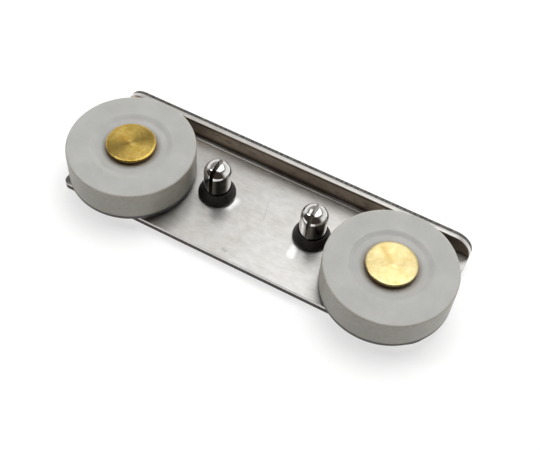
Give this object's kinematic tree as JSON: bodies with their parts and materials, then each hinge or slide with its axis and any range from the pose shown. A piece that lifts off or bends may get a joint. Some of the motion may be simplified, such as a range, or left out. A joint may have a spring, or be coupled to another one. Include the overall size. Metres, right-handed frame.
{
  "type": "sliding door roller",
  "caption": "Bent steel bracket carrying nylon wheels on brass shoulder rivets, with split studs that snap into the rail of a light sliding door.",
  "frame": {"origin": "centre of the bounding box, on the surface that the riveted tails rest on", "axes": "+X along the bracket from the left wheel to the right wheel, +Y towards the bent-up flange, +Z out of the plate, along both wheel axles"},
  "size_m": [0.0798, 0.0282, 0.0109],
  "materials": {
    "bracket_steel": "mill-finish stainless sheet with fine lengthwise brushing",
    "wheel_nylon": "natural nylon, pale grey and slightly translucent, satin",
    "rivet_brass": "turned brass with fine concentric tool marks",
    "washer_steel": "plain stamped washer",
    "stud_chrome": "bright plated, turned",
    "collar_black": "black-finished steel, semi-gloss"
  },
  "bodies": {
    "bracket": {"bracket_plate": "bracket_steel", "left_axle_rivet": "rivet_brass", "left_wheel_washer": "washer_steel", "left_split_stud": "stud_chrome", "left_stud_collar": "collar_black", "right_axle_rivet": "rivet_brass", "right_wheel_washer": "washer_steel", "right_split_stud": "stud_chrome", "right_stud_collar": "collar_black"},
    "left_roller": {"left_wheel": "wheel_nylon"},
    "right_roller": {"right_wheel": "wheel_nylon"}
  },
  "joints": [
    {"name": "left_wheel_spin", "type": "hinge", "parent": "bracket", "child": "left_roller", "pos_m": [-0.0274, -0.00155, 0.00655], "axis": [0, 0, 1], "continuous": true},
    {"name": "right_wheel_spin", "type": "hinge", "parent": "bracket", "child": "right_roller", "pos_m": [0.0274, -0.00155, 0.00655], "axis": [0, 0, 1], "continuous": true}
  ]
}
